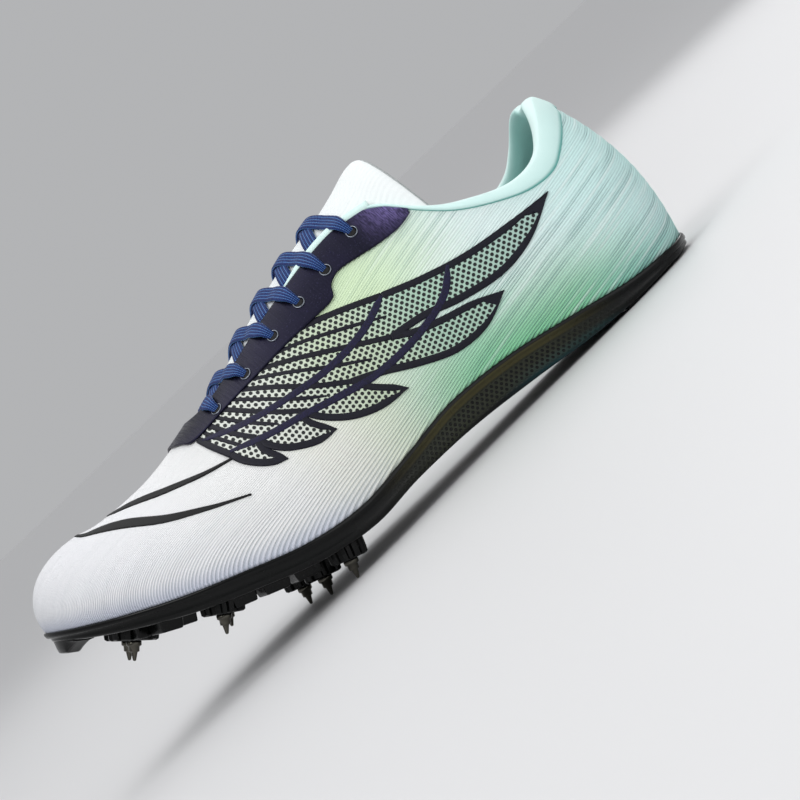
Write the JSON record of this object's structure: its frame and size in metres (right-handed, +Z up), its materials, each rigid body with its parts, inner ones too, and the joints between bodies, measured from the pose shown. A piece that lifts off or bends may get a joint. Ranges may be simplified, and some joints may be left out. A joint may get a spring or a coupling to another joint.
{
  "type": "track spike shoe",
  "caption": "Low-cut sprint shoe for the left foot: ribbed knit upper with a dark throat overlay, padded collar, flat laces, and a stiff plate with toe spring and conical spikes.",
  "frame": {"origin": "middle of the flat resting face under the heel, on the floor plane", "axes": "+X to the toe, +Y to the lateral (outer) side, +Z up"},
  "size_m": [0.2682, 0.0888, 0.1036],
  "materials": {
    "plate": "glossy, near black",
    "knit": "ribbed knit, white to pale green and aqua",
    "sock_liner": "matt",
    "tongue": "smooth knit",
    "satin": "satin",
    "lining": "smooth padded knit",
    "lace": "flat woven",
    "spike_metal": "polished",
    "eyelet_metal": "satin"
  },
  "bodies": {
    "root": {"outsole": "plate", "upper": "knit", "insole": "sock_liner", "tongue": "tongue", "eyestay": "satin", "collar_roll": "lining", "lace_row_1": "lace", "lace_row_2": "lace", "lace_row_3": "lace", "lace_row_4": "lace", "lace_row_5": "lace", "spike_1": "spike_metal", "spike_2": "spike_metal", "spike_3": "spike_metal", "spike_4": "spike_metal", "spike_5": "spike_metal", "spike_6": "spike_metal", "spike_7": "spike_metal", "eyelet_lateral_1": "eyelet_metal", "eyelet_medial_1": "eyelet_metal", "eyelet_lateral_2": "eyelet_metal", "eyelet_medial_2": "eyelet_metal", "eyelet_lateral_3": "eyelet_metal", "eyelet_medial_3": "eyelet_metal", "eyelet_lateral_4": "eyelet_metal", "eyelet_medial_4": "eyelet_metal", "eyelet_lateral_5": "eyelet_metal", "eyelet_medial_5": "eyelet_metal", "eyelet_lateral_6": "eyelet_metal", "eyelet_medial_6": "eyelet_metal"}
  },
  "joints": []
}
